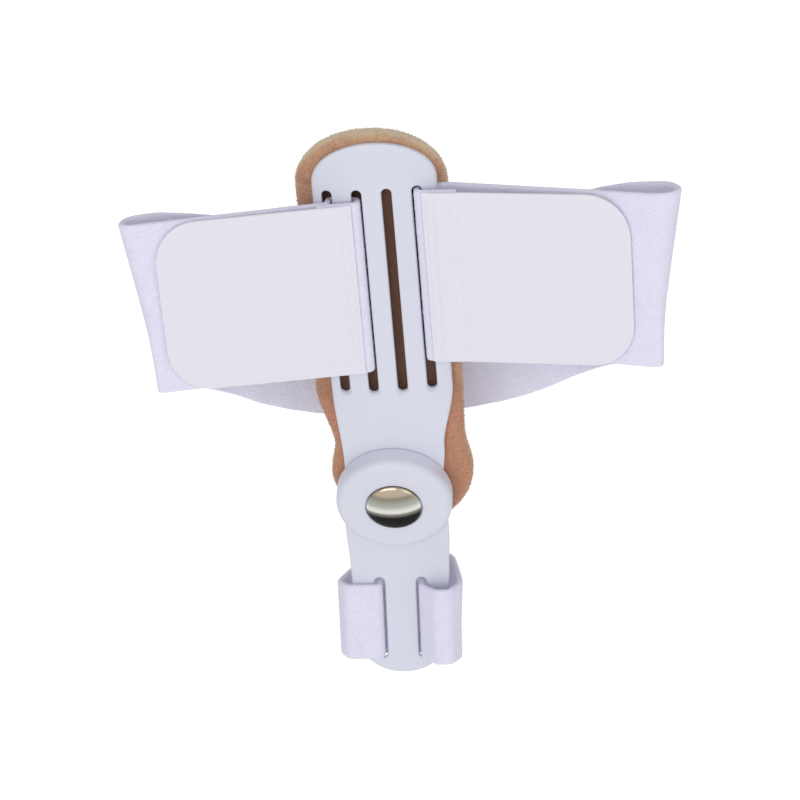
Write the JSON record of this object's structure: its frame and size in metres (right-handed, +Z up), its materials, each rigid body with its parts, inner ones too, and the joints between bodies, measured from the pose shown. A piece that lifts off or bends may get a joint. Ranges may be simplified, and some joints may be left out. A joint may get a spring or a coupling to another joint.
{
  "type": "hinged bunion corrector splint",
  "caption": "Bunion corrector: white slotted foot plate and toe plate on a round metal-capped hinge, brown padded back, wide and narrow elastic straps with hook tabs",
  "frame": {"origin": "middle of the pad's skin side, level with the middle of the foot plate's slots, where the pad rests against the foot", "axes": "+X to the viewer's right, -Y out of the foot plate's front face, +Z up to the ankle end"},
  "size_m": [0.1531, 0.0436, 0.1707],
  "materials": {
    "white_plastic": "smooth satin moulding",
    "cap_metal": "polished dome",
    "pad_velour": "short brown pile over foam",
    "white_elastic": "brushed loop pile",
    "hook_tab": "smooth tape with a welded grid at its inner end"
  },
  "bodies": {
    "splint": {"foot_plate": "white_plastic", "hinge_cap": "cap_metal", "pad": "pad_velour", "foot_strap": "white_elastic", "hook_tab_left": "hook_tab", "hook_tab_right": "hook_tab"},
    "toe": {"toe_plate": "white_plastic", "toe_strap": "white_elastic"}
  },
  "joints": [
    {"name": "toe_hinge", "type": "hinge", "parent": "splint", "child": "toe", "pos_m": [-0.0015, -0.00328, -0.06459], "axis": [0, -0.9588, -0.284], "range_deg": [-30, 30]}
  ]
}
